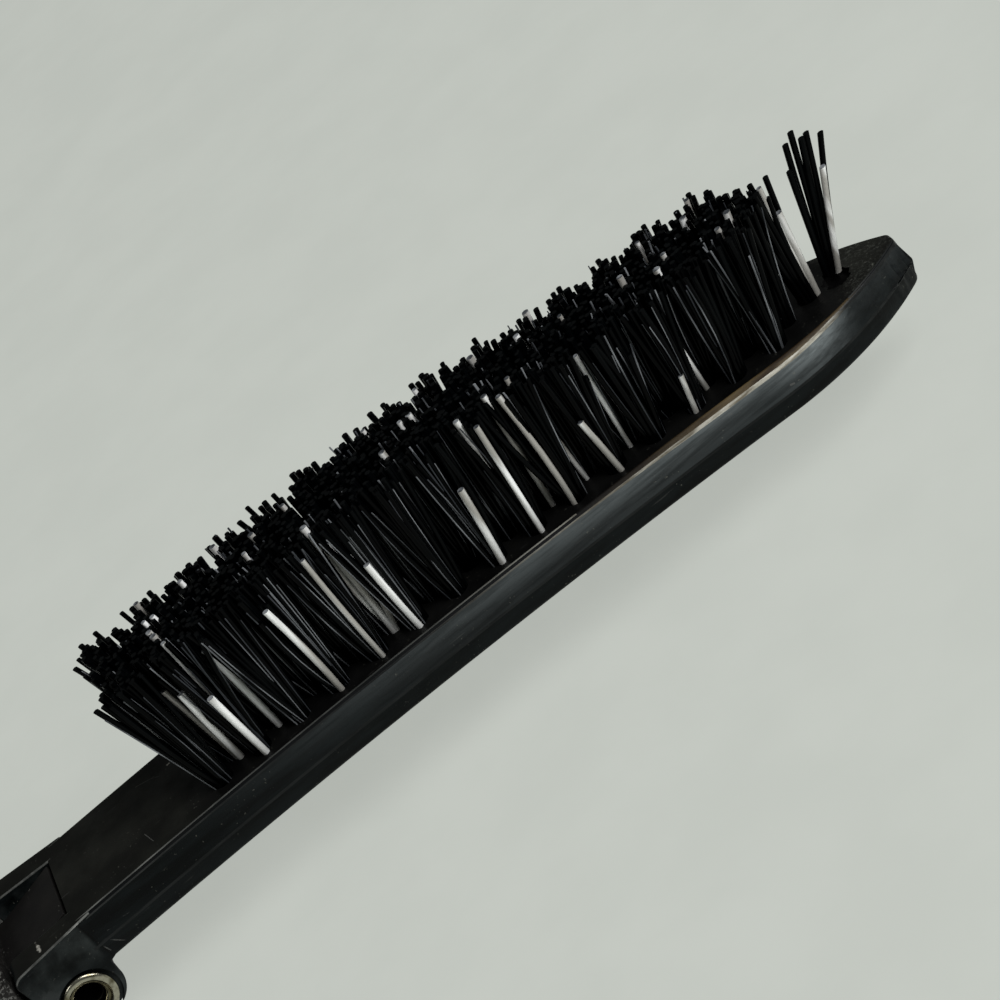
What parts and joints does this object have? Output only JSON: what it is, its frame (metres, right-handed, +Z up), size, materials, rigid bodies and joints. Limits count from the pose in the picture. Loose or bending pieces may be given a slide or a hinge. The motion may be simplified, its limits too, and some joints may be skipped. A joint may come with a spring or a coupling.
{
  "type": "folding travel brush",
  "caption": "Slim folding travel brush: a long arched bristle head on a hinge eyelet folds under a hollow handle with a sliding lock button.",
  "frame": {"origin": "under the middle of the opened brush, on the plane that the handle rests on", "axes": "+X along the brush to the tip of the head, +Y across it, +Z up to the bristle tips"},
  "size_m": [0.2044, 0.0192, 0.0275],
  "materials": {
    "head_plastic": "moulded near-black plastic, satin, with worn bright edges and fine scratches",
    "bristle_nylon": "glossy black nylon strands with a few pale ones",
    "eyelet_metal": "nickel-plated, polished, with warm reflections",
    "handle_plastic": "finely pebbled near-black plastic",
    "lock_plastic": "smooth satin near-black plastic",
    "screw_steel": "zinc-plated steel"
  },
  "bodies": {
    "handle": {"handle_frame": "handle_plastic", "handle_cover": "handle_plastic", "detent_spring": "screw_steel", "cover_screw_front": "screw_steel", "cover_screw_middle": "screw_steel", "cover_screw_rear": "screw_steel"},
    "head": {"brush_head": "head_plastic", "bristles_near_row": "bristle_nylon", "bristles_middle_row": "bristle_nylon", "bristles_far_row": "bristle_nylon", "bristles_tip_tuft": "bristle_nylon", "hinge_eyelet": "eyelet_metal"},
    "lock": {"lock_bolt": "lock_plastic", "lock_button": "lock_plastic", "button_screw": "screw_steel"}
  },
  "joints": [
    {"name": "head_fold", "type": "hinge", "parent": "handle", "child": "head", "pos_m": [0.0028, 0, 0.0065], "axis": [0, 1, 0], "range_deg": [0, 180]},
    {"name": "lock_slide", "type": "slide", "parent": "handle", "child": "lock", "axis": [1, 0, 0], "range_m": [0, 0.0024]}
  ]
}
